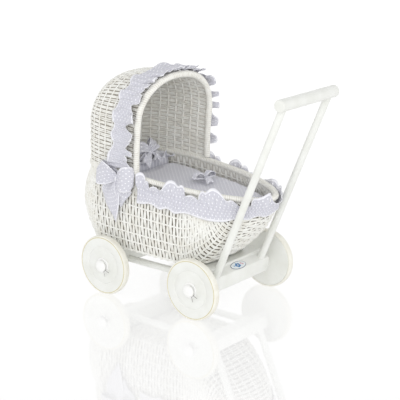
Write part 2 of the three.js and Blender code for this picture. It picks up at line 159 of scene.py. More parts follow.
def mottled(tree, coords, sizeMm, light, dark, detail=3, low=0, high=1):     # two colours in cloudy patches
    light, dark = (linearColour(c) if isinstance(c, str) else c for c in (light, dark))
    cloud = addNode(tree, "ShaderNodeTexNoise",
                    {"Vector": coords, "Scale": perMetre(sizeMm), "Detail": detail})
    share = addNode(tree, "ShaderNodeMapRange", {0: cloud, 1: low, 2: high})
    return addNode(tree, "ShaderNodeMix", {0: share, 6: light, 7: dark}, data_type="RGBA").outputs[2]


def pitted(tree, shader, coords, sizeMm, depthMm, strength, detail):
    pits = addNode(tree, "ShaderNodeTexNoise",
                   {"Vector": coords, "Scale": perMetre(sizeMm), "Detail": detail})
    bump = addNode(tree, "ShaderNodeBump", {"Height": pits, "Strength": strength, "Distance": depthMm * mm})
    tree.links.new(bump.outputs[0], shader.inputs["Normal"])


def plainMaterial(name, finish, patches, pits):
    material, tree, shader = newMaterial(name, finish)
    coords = addNode(tree, "ShaderNodeTexCoord", {}).outputs["Object"]
    tree.links.new(mottled(tree, coords, *patches), shader.inputs["Base Color"])
    pitted(tree, shader, coords, *pits)
    return material


def makeEnamelledBeech():  # brushed enamel over turned beech: soft gloss, the grain just telegraphs through
    material, tree, shader = newMaterial("enamelled_beech", {"Roughness": 0.36, "IOR": 1.5})
    coords = addNode(tree, "ShaderNodeTexCoord", {}).outputs["Object"]
    colour = mottled(tree, coords, 45, "#EEEFEB", "#E6E7E1", 3, 0.35, 0.7)
    tree.links.new(colour, shader.inputs["Base Color"])
    stretched = addNode(tree, "ShaderNodeMapping", {"Vector": coords, "Scale": (1, 0.12, 1)})
    grain = addNode(tree, "ShaderNodeTexNoise", {"Vector": stretched, "Scale": perMetre(2.2), "Detail": 5})
    gloss = addNode(tree, "ShaderNodeMapRange", {0: grain, 1: -0.2, 2: 3.2})
    tree.links.new(gloss.outputs[0], shader.inputs["Coat Weight"])
    bump = addNode(tree, "ShaderNodeBump", {"Height": grain, "Strength": 0.5, "Distance": 0.18 * mm})
    tree.links.new(bump.outputs[0], shader.inputs["Normal"])
    return material


def makePaintedWillow():  # sprayed paint on willow: warm white, thinner and greyer in patches, matt
    material, tree, shader = newMaterial("painted_willow", {"Roughness": 0.5, "IOR": 1.48})
    coords = addNode(tree, "ShaderNodeTexCoord", {}).outputs["Object"]
    tint = mottled(tree, coords, 22, "#F6F6F2", "#EBE9E1", 2, 0.4, 0.75)
    worn = mottled(tree, coords, 3.5, tint, "#D9D4C8", 3, 0.58, 0.85)
    tree.links.new(worn, shader.inputs["Base Color"])
    pitted(tree, shader, coords, 1.4, 0.3, 0.6, 4)
    return material


def makeGapShade(name, light, dark):  # painted shade for the gaps between the canes: brown-grey and matt
    return plainMaterial(name, {"Roughness": 0.8}, (6, light, dark), (2.5, 0.4, 0.8, 3))


def makeWrappedWillow():  # flat skeins wound close: painted shade in the crease at each turn's edge, a fine brownish line that fades in patches
    material, tree, shader = newMaterial("wrapped_willow", {"Roughness": 0.48, "IOR": 1.48})
    source = addNode(tree, "ShaderNodeTexCoord", {})
    coords = source.outputs["Object"]
    turns = addNode(tree, "ShaderNodeSeparateXYZ", {0: source.outputs["UV"]})
    along = addNode(tree, "ShaderNodeMath", {0: turns, 1: perMetre(1), 2: turns.outputs[1]},
                    operation="MULTIPLY_ADD")
    cell = addNode(tree, "ShaderNodeMath", {0: along, 1: 0.5}, operation="PINGPONG")
    # painted shade: a brownish line along the crease between turns
    line = addNode(tree, "ShaderNodeMapRange", {0: cell, 1: 0.11, 2: 0.02})
    cloud = addNode(tree, "ShaderNodeTexNoise", {"Vector": coords, "Scale": perMetre(9), "Detail": 3})
    shown = addNode(tree, "ShaderNodeMapRange", {0: cloud, 1: 0.25, 2: 0.7})
    patchyCreaseShade = addNode(tree, "ShaderNodeMath", {0: line, 1: shown}, operation="MULTIPLY")
    ground = mottled(tree, coords, 9, "#F8F8F4", "#EFEDE4")
    colour = addNode(tree, "ShaderNodeMix", {0: patchyCreaseShade, 6: ground, 7: linearColour("#A89F8C")},
                     data_type="RGBA")
    tree.links.new(colour.outputs[2], shader.inputs["Base Color"])
    pitted(tree, shader, coords, 1.6, 0.2, 0.5, 3)
    return material


def makeZincWire():  # zinc-plated spring steel: grey, slightly uneven plating
    material, tree, shader = newMaterial("zinc_plated_steel", {"Metallic": 1.0})
    coords = addNode(tree, "ShaderNodeTexCoord", {}).outputs["Object"]
    tree.links.new(mottled(tree, coords, 1.5, "#BDBDBA", "#8E8C88"), shader.inputs["Base Color"])
    fleck = addNode(tree, "ShaderNodeTexNoise", {"Vector": coords, "Scale": perMetre(1.5), "Detail": 3})
    rough = addNode(tree, "ShaderNodeMapRange", {0: fleck, 1: -0.6, 2: 2.0})
    tree.links.new(rough.outputs[0], shader.inputs["Roughness"])
    return material


dottedCloth = {"pitch": 12.0, "dot": 1.4, "thread": 0.9}     # thread drawn coarser than 0.3 mm, to show


def woven(tree, shader, coords, depthMm):           # threads that cross
    scale = perMetre(dottedCloth["thread"]) / 3.2
    threads = [addNode(tree, "ShaderNodeTexWave", {"Vector": coords, "Scale": scale}, bands_direction=way)
               for way in "XY"]
    height = addNode(tree, "ShaderNodeMath", {0: threads[0].outputs[1], 1: threads[1].outputs[1]})
    bump = addNode(tree, "ShaderNodeBump", {"Height": height, "Strength": 0.5, "Distance": depthMm * mm})
    tree.links.new(bump.outputs[0], shader.inputs["Normal"])


def dotsAt(tree, coords, offset):
    scaled = addNode(tree, "ShaderNodeVectorMath", {0: coords, 3: perMetre(dottedCloth["pitch"])},
                     operation="SCALE")
    moved = addNode(tree, "ShaderNodeVectorMath", {0: scaled, 1: offset})
    cell = addNode(tree, "ShaderNodeVectorMath", {0: moved}, operation="FRACTION")
    centred = addNode(tree, "ShaderNodeVectorMath", {0: cell, 1: (0.5, 0.5, 0)}, operation="SUBTRACT")
    flat = addNode(tree, "ShaderNodeVectorMath", {0: centred, 1: (1, 1, 0)}, operation="MULTIPLY")
    away = addNode(tree, "ShaderNodeVectorMath", {0: flat}, operation="LENGTH")
    size = dottedCloth["dot"] / dottedCloth["pitch"]
    return addNode(tree, "ShaderNodeMapRange", {0: away.outputs[1], 1: size * 1.25, 2: size * 0.8})


def makeDottedCotton(name, byUv):  # printed cotton: lavender grey, matt, with small white dots
    finish = {"Roughness": 0.85, "Sheen Weight": 0.25, "Sheen Roughness": 0.5}
    material, tree, shader = newMaterial(name, finish)
    source = addNode(tree, "ShaderNodeTexCoord", {})
    coords = source.outputs["UV" if byUv else "Object"]
    rows = [dotsAt(tree, coords, offset) for offset in ((0, 0, 0), (0.5, 0.5, 0))]
    dots = addNode(tree, "ShaderNodeMath", {0: rows[0], 1: rows[1]}, operation="MAXIMUM")
    ground = mottled(tree, source.outputs["Object"], 18, "#D6D6DE", "#CDCDD6")
    colour = addNode(tree, "ShaderNodeMix", {0: dots, 6: ground, 7: linearColour("#F7F7FB")},
                     data_type="RGBA")
    tree.links.new(colour.outputs[2], shader.inputs["Base Color"])
    woven(tree, shader, coords, 0.12)
    return material


def makeWhiteCotton(name, roughness):  # plain bleached cotton, as ribbon edging and ticking
    material, tree, shader = newMaterial(name, {"Roughness": roughness, "Sheen Weight": 0.3})
    coords = addNode(tree, "ShaderNodeTexCoord", {}).outputs["Object"]
    tree.links.new(mottled(tree, coords, 12, "#F8F8FC", "#ECECF3"), shader.inputs["Base Color"])
    woven(tree, shader, coords, 0.1)
    return material


def makePrint(name, hexCode):  # gloss print under clear lacquer
    material, tree, shader = newMaterial(name, {"Roughness": 0.25, "Coat Weight": 0.4})
    coords = addNode(tree, "ShaderNodeTexCoord", {}).outputs["Object"]
    lighter = [min(1, c * 1.15) for c in linearColour(hexCode)]
    tree.links.new(mottled(tree, coords, 3, hexCode, lighter), shader.inputs["Base Color"])
    return material


beech = makeEnamelledBeech()
willow = makePaintedWillow()
# painted shade seen through the gaps: dark for the tub, lighter for the hood, palest on the inner faces
gapShade = makeGapShade("painted_gap_shade", "#847D72", "#665F54")
gapShadeLight = makeGapShade("painted_gap_shade_light", "#ABA69D", "#8F897F")
gapShadeInner = makeGapShade("painted_gap_shade_inner", "#DEDBD5", "#C9C5BD")
wrappedWillow = makeWrappedWillow()
# moulded rubber: cream, dull, faintly mottled
rubber = plainMaterial("cream_rubber", {"Roughness": 0.6, "IOR": 1.52},
                       (14, "#F2F1E8", "#EBE8DC", 3, 0.35, 0.7), (0.9, 0.12, 0.6, 4))
# injection-moulded nylon: clean white with a soft shine
nylon = plainMaterial("white_nylon", {"Roughness": 0.3, "IOR": 1.53}, (8, "#FAFAF9", "#F2F2EF"),
                      (1.2, 0.05, 0.4, 2))
zinc = makeZincWire()
dotsByUv = makeDottedCotton("dotted_cotton", True)
dotsByPlace = makeDottedCotton("dotted_cotton_bedding", False)
ribbonWhite = makeWhiteCotton("white_cotton_ribbon", 0.6)
ticking = makeWhiteCotton("white_cotton_ticking", 0.9)
# a thin olive ring in the seam between wheel disc and tyre
oliveLine = makePrint("tyre_seam_olive", "#D3CBA6")
print("materials made")


# shared ways of making a piece
def keep(name, source, looks, body, replaced=(), flat=False):
    mesh = meshOf(name, source) if isinstance(source, bmesh.types.BMesh) else source
    piece = linked(name, mesh)
    for look in looks:
        mesh.materials.append(look)
    mesh.polygons.foreach_set("use_smooth", [not flat] * len(mesh.polygons))
    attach(piece, body)
    if replaced:
        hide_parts(*replaced)
    return piece


def rodMesh(name, lines, radius):
    curve = bpy.data.curves.new(name, "CURVE")
    curve.dimensions = "3D"
    curve.bevel_depth = radius * mm
    curve.bevel_resolution = 1
    curve.use_fill_caps = True
    for line in lines:
        spline = curve.splines.new("POLY")
        spline.points.add(len(line) - 1)
        points = np.ones((len(line), 4))
        points[:, :3] = placed(line)
        spline.points.foreach_set("co", points.ravel())
    holder = linked(name, curve)
    bpy.context.view_layer.update()
    mesh = bpy.data.meshes.new_from_object(holder.evaluated_get(bpy.context.evaluated_depsgraph_get()))
    bpy.data.objects.remove(holder)
    bpy.data.curves.remove(curve)
    return mesh


def gridMesh(steps, place, flatSize=(1, 1), closeU=False, closeV=False):
    bm = bmesh.new()
    bmesh.ops.create_grid(bm, x_segments=steps[0], y_segments=steps[1], size=0.5)
    shares = np.array([v.co[:2] for v in bm.verts]) + 0.5
    points = placed(place(shares[:, 0], shares[:, 1]))
    layer = bm.loops.layers.uv.new("cloth")
    for face in bm.faces:
        for loop in face.loops:
            share = shares[loop.vert.index]
            loop[layer].uv = (share[0] * flatSize[0] * mm, share[1] * flatSize[1] * mm)
    for vert in bm.verts:
        vert.co = points[vert.index]
    if closeU or closeV:
        bmesh.ops.remove_doubles(bm, verts=bm.verts, dist=0.02 * mm)
    bmesh.ops.recalc_face_normals(bm, faces=bm.faces)
    return bm


sheetCloth = {"thick": 0.6, "slot": "dotted_cotton"}


def sheetPiece(name, steps, place, flatSize, edge, replaced=()):
    bm = gridMesh(steps, place, flatSize)
    layer = bm.loops.layers.uv.active
    for face in bm.faces:
        across = sum(loop[layer].uv[1] for loop in face.loops) / len(face.loops) / mm
        if across < edge or across > flatSize[1] - edge:
            face.material_index = 1
    piece = keep(name, bm, [dotsByUv, ribbonWhite], "pram", replaced)
    thick = piece.modifiers.new("cloth", "SOLIDIFY")
    thick.thickness = sheetCloth["thick"] * mm
    thick.offset = 0


# the tub: ribs run from end to end like a boat's planks, weavers cross them from rim to rim
tub = {
    "bottom": 110.6, "midX": 80, "baseFoot": -85, "rimFoot": -222, "rimHead": 292,
    "halfWidths": ((0, 114), (0.2, 122), (0.5, 127.5), (0.8, 125), (1, 120)),
    "heads": ((0, 286), (0.25, 309), (0.5, 321), (0.8, 309), (1, 292)),
    "coreLow": (-35, -64), "coreHigh": (236, 64), "cornerR": 50, "wallLength": 200,
}
weave = {"rib": 24, "pair": 9.8, "apart": 3.5, "ribR": 2.3, "weaverR": 1.9, "over": 1.3, "inset": 3.4,
         "step": 4, "ends": 25, "around": 121, "bend": 0.6}
rim = {"radius": 7.5, "wrap": 5.2, "groove": 0.8}

widthFit = np.polyfit(*np.array(tub["halfWidths"]).T, 4)
headFit = np.polyfit(*np.array(tub["heads"]).T, 4)


def rimHeight(x):
    return 284 + 25 * np.clip((x - tub["rimFoot"]) / 345, 0, 1) + 2 * smooth(x, 120, 290)


def hullPoint(core, out, t, inset=0.0):
    t = np.clip(t, 0, 1)
    halfWidth = np.polyval(widthFit, t) - inset
    head = np.polyval(headFit, t) - inset
    foot = tub["baseFoot"] + (tub["rimFoot"] - tub["baseFoot"]) * (1 - (1 - t) ** 1.7) + inset

    def isInside(far):
        x = core[:, 0] + out[:, 0] * far - tub["midX"]
        y = core[:, 1] + out[:, 1] * far
        power = np.where(x >= 0, 3.5, mixed(4.2, 1.9, t))
        reach = np.where(x >= 0, head - tub["midX"], tub["midX"] - foot)
        return np.abs(x / reach) ** power + np.abs(y / halfWidth) ** power < 1

    low = farthestInside(isInside, len(t), 420.0, 26)
    x = core[:, 0] + out[:, 0] * low
    z = tub["bottom"] + t * (rimHeight(x) - tub["bottom"])
    return np.stack([x, core[:, 1] + out[:, 1] * low, z], 1)


def endRay(q, end, side):                     # q runs from the side, round the corner, to the centre line
    bend, halfCore = weave["bend"], tub["coreHigh"][1]
    angle = math.pi / 2 * np.clip(q / bend, 0, 1)
    y = halfCore * (1 - np.clip((q - bend) / (1 - bend), 0, 1))
    x = np.where(end > 0, tub["coreHigh"][0], tub["coreLow"][0])
    return np.stack([x, side * y], 1), np.stack([end * np.sin(angle), side * np.cos(angle)], 1)


def endTables(end):
    levels, places = np.linspace(0, 1, weave["ends"]), np.linspace(0, 1, weave["around"])
    there, back = [], []
    for level in levels:
        core, out = endRay(places, np.full(len(places), end), 1.0)
        ring = hullPoint(core, out, np.full(len(places), level))
        run = runAlong(ring)
        there.append(run / run[-1])
        back.append(np.interp(places, there[-1], places))
    return np.array(there), np.array(back)


def readTable(table, q, t):
    rows, columns = (n - 1 for n in table.shape)
    i = np.clip((t * rows).astype(int), 0, rows - 1)
    j = np.clip((q * columns).astype(int), 0, columns - 1)
    a, b = t * rows - i, q * columns - j
    return mixed(mixed(table[i, j], table[i, j + 1], b), mixed(table[i + 1, j], table[i + 1, j + 1], b), a)


def spreadRays(flat, core, out, t):
    over = np.where(flat[:, 0] > tub["coreHigh"][0], flat[:, 0] - tub["coreHigh"][0],
                    np.minimum(flat[:, 0] - tub["coreLow"][0], 0))
    end, side = np.sign(over), np.where(flat[:, 1] < 0, -1.0, 1.0)
    halfCore, bend = tub["coreHigh"][1], weave["bend"]
    wide = np.abs(flat[:, 1])
    angle = np.arctan2(np.abs(over), np.maximum(wide - halfCore, 0))
    q = np.where(wide > halfCore, bend * angle / (math.pi / 2), bend + (1 - bend) * (1 - wide / halfCore))
    q, level = np.clip(q, 0, 1), np.clip(t, 0, 1)
    there = np.where(end > 0, readTable(headTables[0], q, level), readTable(footTables[0], q, level))
    even = np.abs(over) / np.maximum(np.abs(over) + wide, 1e-6)
    share = np.clip(mixed(there, even, 0.92 * smooth(level, 0, 0.55)), 0, 1)
    q = np.where(end > 0, readTable(headTables[1], share, level), readTable(footTables[1], share, level))
    endCore, endOut = endRay(q, end, side)
    chosen = (np.abs(over) > 0)[:, None]
    return np.where(chosen, endCore, core), np.where(chosen, endOut, out)


def tubSurface(flat, inset):
    core = np.clip(flat, tub["coreLow"], tub["coreHigh"])
    away = flat - core
    far = np.maximum(np.linalg.norm(away, axis=1), 1e-6)
    out = away / far[:, None]
    t = (far - tub["cornerR"]) / tub["wallLength"]
    above = t > 0
    if above.any():
        core[above], out[above] = spreadRays(flat[above], core[above], out[above], t[above])
    points = hullPoint(core, out, t, inset)
    floorShare = np.clip(far / tub["cornerR"], 0, 1)[:, None]
    onFloor = (t < 0)[:, None]
    plan = core + (points[:, :2] - core) * floorShare
    level = np.full(len(t), tub["bottom"] + inset)
    floor = np.concatenate([plan, level[:, None]], 1)
    return np.where(onFloor, floor, np.maximum(points, [-1e9, -1e9, tub["bottom"] + inset]))


def tubNormal(flat):
    step = 3.0
    dx = tubSurface(flat + [step, 0], weave["inset"]) - tubSurface(flat - [step, 0], weave["inset"])
    dy = tubSurface(flat + [0, step], weave["inset"]) - tubSurface(flat - [0, step], weave["inset"])
    return unit(np.cross(dy, dx))


def overUnder(along, pair):                   # lies flat between the ribs and hops over every second one
    swing = np.cos(math.pi * (along / weave["rib"] + pair))
    return weave["over"] * swing


handWork = np.random.default_rng(11)           # no two canes lie quite alike


def wander(along):
    starts, lengths = handWork.uniform(0, 6.28, 2), handWork.uniform(18, 60, 2)
    return 0.3 * np.sin(along / lengths[0] + starts[0]) + 0.35 * np.sin(along / lengths[1] + starts[1])


def pairedPlaces(first, last):
    starts = np.arange(first, last, weave["pair"])
    half = weave["apart"] / 2
    return [(start + side * half, k % 2) for k, start in enumerate(starts) for side in (-1, 1)]


def tubLine(fixedAxis, value, pair=None):
    top = tub["cornerR"] + tub["wallLength"] * 0.985
    low, high = tub["coreLow"], tub["coreHigh"]
    over = max(low[fixedAxis] - value, value - high[fixedAxis], 0)
    reach = math.sqrt(max(top * top - over * over, 1))
    other = 1 - fixedAxis
    count = max(4, int((high[other] - low[other] + 2 * reach) / weave["step"]))
    along = np.linspace(low[other] - reach, high[other] + reach, count)
    flat = np.empty((count, 2))
    flat[:, fixedAxis] = value + (0 if pair is None else wander(along))
    flat[:, other] = along
    shift = np.zeros(count) if pair is None else overUnder(along, pair)
    return tubSurface(flat, weave["inset"]) + tubNormal(flat) * shift[:, None]


def tubSkinPlace(u, v):                        # the mat's outline in the flat, filled ring by ring
    top = tub["cornerR"] + tub["wallLength"] * 0.985
    angle = 2 * math.pi * u
    c, s = np.cos(angle), np.sin(angle)
    share = np.abs(np.stack([c, s], 1)) ** 0.5 * np.sign(np.stack([c, s], 1))
    low, high = np.array(tub["coreLow"]), np.array(tub["coreHigh"])
    box = (high - low) / 2 * np.clip(share * 1.19, -1, 1)
    flat = (low + high) / 2 + (box + top * np.stack([c, s], 1)) * v[:, None] ** 0.8
    return tubSurface(flat, weave["inset"] + 0.2)


def canes(name, lines, radius, nodes=()):
    keep(name, rodMesh(name, lines, radius), [willow], "pram", nodes)


def shadeSheet(name, bm, outside, offset):             # thin sheet of painted shade behind the canes, darkening the gaps; paler painted shade on its inner face
    skin = keep(name, bm, [outside, gapShadeInner], "pram")
    wall = skin.modifiers.new("wall", "SOLIDIFY")
    wall.material_offset = 1
    wall.thickness = 0.5 * mm
    wall.offset = offset


def makeTub():
    top = tub["cornerR"] + tub["wallLength"] * 0.975
    ribCount = int((tub["coreHigh"][1] + top) / weave["rib"])
    ribs = [tubLine(1, k * weave["rib"]) for k in range(-ribCount, ribCount + 1)]
    canes("tub_ribs", ribs, weave["ribR"])
    first, last = tub["coreLow"][0] - top, tub["coreHigh"][0] + top
    weavers = [tubLine(0, x, pair) for x, pair in pairedPlaces(first, last)]
    # a sheet of dark painted shade behind the tub's canes
    shadeSheet("tub_gap_shade", gridMesh((160, 40), tubSkinPlace, closeU=True), gapShade, -1)
    third = len(weavers) // 3
    for name, chosen, nodes in (("tub_weavers_foot", weavers[:third], ["tub_wall"]),
                                ("tub_weavers_middle", weavers[third:2 * third], ["tub_floor"]),
                                ("tub_weavers_head", weavers[2 * third:], [])):
        canes(name, chosen, weave["weaverR"], nodes)


def wrappedRoll(name, path, radius, node, closed, upward):
    line = np.concatenate([path, path[:1]]) if closed else path
    known = runAlong(line)
    total = known[-1]
    steps, turns = int(total / 1.3), round(total / rim["wrap"])

    def at(share):
        return np.stack([np.interp(share * total, known, line[:, i]) for i in range(3)], 1)

    def place(u, v):
        ahead, behind = u + 2 / total, u - 2 / total
        if closed:
            ahead, behind = ahead % 1, behind % 1
        tangent = unit(at(np.clip(ahead, 0, 1)) - at(np.clip(behind, 0, 1)))
        across = unit(np.cross(tangent, upward))
        lift = np.cross(across, tangent)
        angle = v * 2 * math.pi
        crease = np.abs(np.cos(math.pi * (u * turns + v))) ** 6
        wobble = 0.35 * np.sin(u * total / 17 + 2 * angle)
        r = (radius - rim["groove"] * crease + wobble * 0.5)[:, None]
        return at(u) + r * (across * np.cos(angle)[:, None] + lift * np.sin(angle)[:, None])

    # U counts the turns, V goes once round
    bm = gridMesh((steps, 14), place, (turns, 1 / mm), closeU=closed, closeV=True)
    if not closed:
        bmesh.ops.holes_fill(bm, edges=[e for e in bm.edges if e.is_boundary], sides=0)
        bmesh.ops.recalc_face_normals(bm, faces=bm.faces)
    keep(name, bm, [wrappedWillow], "pram", [node])


def rimLine(count=200):
    angle = np.linspace(0, 2 * math.pi, count, endpoint=False)
    c, s = np.cos(angle), np.sin(angle)
    power = np.where(c >= 0, 2 / 3.5, 2 / 1.9)
    reach = np.where(c >= 0, tub["rimHead"] - tub["midX"], tub["midX"] - tub["rimFoot"])
    x = tub["midX"] + np.sign(c) * reach * np.abs(c) ** power
    y = 120 * np.sign(s) * np.abs(s) ** power
    return np.stack([x, y, rimHeight(x)], 1)


headTables, footTables = endTables(1.0), endTables(-1.0)
makeTub()
wrappedRoll("tub_rim_wrapped", rimLine(), rim["radius"], "tub_rim", True, [0, 0, 1])
print("tub woven")


# the hood: arched stakes behind its mouth, weavers from the mouth round the back
hood = {"front": 81, "apex": 58, "leg": 121, "rise": 230, "power": 2.2, "rollR": 8, "skew": 0.1,
        "halfWidth": 120, "shellStart": 9, "backPower": 3.5, "fanPairs": 38, "heart": (150, 0, 330)}


def archPoint(u, grow=0.0):
    legShare = 0.28
    side = np.where(u < 0.5, 1, -1)
    fromFoot = np.minimum(u, 1 - u)
    halfWidth = hood["halfWidth"] + grow
    crown = hood["rise"] - hood["leg"] + grow
    angle = math.pi / 2 * np.clip((fromFoot - legShare) / (0.5 - legShare), 0, 1)
    onLeg = fromFoot < legShare
    y = np.where(onLeg, halfWidth, halfWidth * np.cos(angle).clip(0) ** (2 / hood["power"]))
    height = np.where(onLeg, hood["leg"] * fromFoot / legShare,
                      hood["leg"] + crown * np.sin(angle).clip(0) ** (2 / hood["power"]))
    return side * y, height


def mouthX(y, height):
    return mixed(hood["front"], hood["apex"], (height / hood["rise"]) ** 2) + hood["skew"] * y


def insideArch(y, height):
    crown = hood["rise"] - hood["leg"]
    above = np.clip(height - hood["leg"], 0, None) / crown
    return np.abs(y / hood["halfWidth"]) ** hood["power"] + above ** hood["power"] < 1


def hoodRay(coreHeight, outY, outZ):
    last = (1 - (max(coreHeight, 5) / hood["rise"]) ** hood["backPower"]) ** (1 / hood["backPower"])
    back = last * (1 - (1 - np.linspace(0, 1, 90)) ** 2.2)
    scale = (1 - back ** hood["backPower"]) ** (1 / hood["backPower"])

    def isInside(far):
        return insideArch(outY * far / scale, (coreHeight + outZ * far) / scale)

    low = farthestInside(isInside, len(back), 300.0, 24)
    y, height = outY * low, coreHeight + outZ * low
    x = mixed(mouthX(y / scale, height / scale) + hood["shellStart"], tub["rimHead"], back)
    points = np.stack([x, y, rimHeight(x) + rim["radius"] + 1 + height], 1)
    return points, runAlong(points)


def resampled(points, distance, wanted):
    return np.stack([np.interp(wanted, distance, points[:, i]) for i in range(3)], 1)


def makeHood():
    heights = [place for place, _ in pairedPlaces(hood["leg"] - 4.9 - 12 * weave["pair"], hood["leg"] - 1)]
    legRows = len(heights)
    fanPairs = hood["fanPairs"]
    between = weave["apart"] / weave["pair"] / 2
    fan = [math.pi * (k + 0.5 + side * between) / fanPairs for k in range(fanPairs) for side in (-1, 1)]
    rays = [(h, 1.0, 0.0) for h in heights]
    rays += [(hood["leg"] - 1e-3, math.cos(a), math.sin(a)) for a in fan]
    rays += [(h, -1.0, 0.0) for h in reversed(heights)]
    curves = [hoodRay(*ray) for ray in rays]
    step = weave["step"]
    longest = int(max(distance[-1] for _, distance in curves) / step) + 1
    along = np.arange(longest) * step
    grid = np.array([resampled(points, distance, along) for points, distance in curves])
    acrossRow = np.gradient(grid, axis=0)
    sideways, normal = unit(acrossRow), unit(np.cross(np.gradient(grid, axis=1), acrossRow))
    normal *= np.sign(np.sum(normal * (grid - hood["heart"]), axis=2))[:, :, None]
    lines = []
    for i, (points, distance) in enumerate(curves):
        inFan = legRows <= i < legRows + len(fan)
        index = i - legRows
        spare = 0 if not inFan else (64 if index // 2 % 2 else (34 if index // 2 % 4 else 14))
        count = int((distance[-1] - spare) / step)
        shift = overUnder(along[:count], i // 2 % 2)
        drift = wander(along[:count])[:, None] * sideways[i, :count]
        lines.append(grid[i, :count] + normal[i, :count] * shift[:, None] + drift)
    for low in range(legRows):     # the two halves of a level meet behind the head
        ends = [lines[low][-1], lines[-1 - low][-1]]
        lines[low] = np.concatenate([lines[low], [(ends[0] + ends[1]) / 2]])
    canes("hood_weavers", lines, weave["weaverR"], ["hood_shell"])
    whole = np.array([resampled(points, distance, np.linspace(0, distance[-1], longest))
                      for points, distance in curves])

    def skinPlace(u, v):
        rows, cells = len(curves) - 1, longest - 1
        i = np.clip((u * rows).round().astype(int), 0, rows)
        j = np.clip((v * cells).round().astype(int), 0, cells)
        return whole[i, j]

    # a sheet of lighter painted shade behind the hood's canes
    shadeSheet("hood_gap_shade", gridMesh((len(curves) - 1, longest - 1), skinPlace), gapShadeLight, 0)
    every = weave["rib"] // step
    stakes = []
    half = len(curves) // 2
    for k in range(every, longest, every):
        rows = [i for i, (_, distance) in enumerate(curves) if distance[-1] > (k + 0.5) * step]
        left, right = grid[[i for i in rows if i < half], k], grid[[i for i in rows if i >= half], k]
        left = np.concatenate([left[:1] - [0, 0, 4], left])
        right = np.concatenate([right, right[-1:] - [0, 0, 4]])
        stakes += [np.concatenate([left, right])] if len(rows) == len(curves) else [left, right]
    stakes = [stake for stake in stakes if len(stake) > 3]
    canes("hood_stakes", stakes, weave["ribR"])


def mouthLine(count=160):
    y, height = archPoint(np.linspace(0, 1, count))
    x = mouthX(y, height)
    return np.stack([x, y, rimHeight(x) + rim["radius"] + 1.5 + height], 1)


makeHood()
wrappedRoll("hood_roll_wrapped", mouthLine(), hood["rollR"], "hood_roll", False, [1, 0, 0])
print("hood woven")

# frills: a strip gathered along its middle, so both edges stand up in waves
hoodFrill = {"flat": (860, 76), "width": 70, "edge": 4.5, "wave": 43, "swing": 15, "lift": 9}
tubFrill = {"flat": (1000, 56), "edge": 4.5, "wave": 92, "swing": 14, "lift": 7}


def waves(distance, length):
    phase = 2 * math.pi * distance / length
    return phase + 1.3 * np.sin(phase / 4.3 + 0.4) + 0.8 * np.sin(phase / 2.6 + 2.1)


def gathered(distance, across, high, drift):            # small pleats along the stitched middle
    pleats = np.sin(2 * math.pi * distance / 10 + 1.5 * np.sin(distance / drift))
    return high * pleats * (1 - np.abs(across)) ** 0.4


def folded(distance, across, high, length):             # softer folds between the middle and the edges
    away = np.abs(across)
    return high * away * (1 - away) * np.sin(2 * math.pi * distance / length + 3 * across)


def hoodSkin(u, behind, grow):
    y, height = archPoint(u, 3.0)
    yOut, heightOut = archPoint(u, 4.0)
    outward = unit(np.stack([yOut - y, heightOut - height], 1))
    y, height = y + outward[:, 0] * grow, np.maximum(height + outward[:, 1] * grow, -6)
    x = mouthX(y, height) + behind
    return np.stack([x, y, rimHeight(x) + rim["radius"] + 1 + height], 1)


def archDistance(u):
    known = np.linspace(0, 1, 200)
    y, height = archPoint(known)
    return np.interp(u, known, runAlong(np.stack([y, height], 1)))


def hoodFrillPlace(u, v):
    u = mixed(0.015, 0.985, u)
    across = 2 * v - 1                        # -1 at the front edge, 1 at the back edge
    distance = archDistance(u)
    front, back = np.clip(-across, 0, 1), np.clip(across, 0, 1)
    phase = waves(distance + 70 * np.tanh((distance - 290) / 110), hoodFrill["wave"])
    backPhase = waves(distance + 300, hoodFrill["wave"] * 1.25)
    top = smooth(np.minimum(u, 1 - u), 0.22, 0.46)
    puff = 1 + 0.9 * top
    gathers = gathered(distance, across, 1.8, 21) + folded(distance, across, 7, 24)
    bend = front ** 1.4
    lift = 9 - 3 * top + gathers
    lift += bend * (10 - 4 * top + hoodFrill["lift"] * puff * 0.62 * np.cos(phase + 1.4))
    lift += back ** 1.3 * (2 + 3.5 * puff * np.cos(backPhase)) + 5 * top * np.sin(math.pi * v)
    low = 1 - smooth(np.minimum(u, 1 - u), 0.0, 0.16)
    middle = 34 + 10 * low - 8 * smooth(u, 0.45, 0.62)      # it leans further over the roll on the right
    behind = middle + across * (hoodFrill["width"] * 0.46 + 8 * low * back)
    behind += bend * hoodFrill["swing"] * (np.sin(phase) + 0.4 * np.sin(1.7 * phase + 1))
    behind += back ** 1.6 * 3.5 * np.sin(backPhase)
    slide = back ** 1.6 * 0.003 * np.sin(2 * backPhase)
    slide -= bend * 0.0032 * np.sin(2 * phase)
    moved = np.clip(u + slide * smooth(np.minimum(u, 1 - u), 0, 0.05), 0.005, 0.995)
    behind = np.maximum(behind, -9)
    overRoll = 11.5 - 9 * smooth(behind, 3, 17)
    return hoodSkin(moved, behind, np.maximum(lift, overRoll))


def frillPath():              # rays of the hull from one side of the hood's mouth to the other
    lowX, halfCore = tub["coreLow"][0], tub["coreHigh"][1]
    straight = np.linspace(hood["front"] + 3, lowX, 90)
    half = [np.stack([straight, np.full(90, halfCore)], 1), np.tile([0.0, 1.0], (90, 1))]
    core, out = endRay(np.linspace(0, 1, 160)[1:], np.full(159, -1.0), 1.0)
    core, out = np.concatenate([half[0], core]), np.concatenate([half[1], out])
    flip = [1, -1]
    core, out = np.concatenate([core, core[-2::-1] * flip]), np.concatenate([out, out[-2::-1] * flip])
    ring = hullPoint(core, out, np.ones(len(core)))
    return core, out, ring, runAlong(ring)


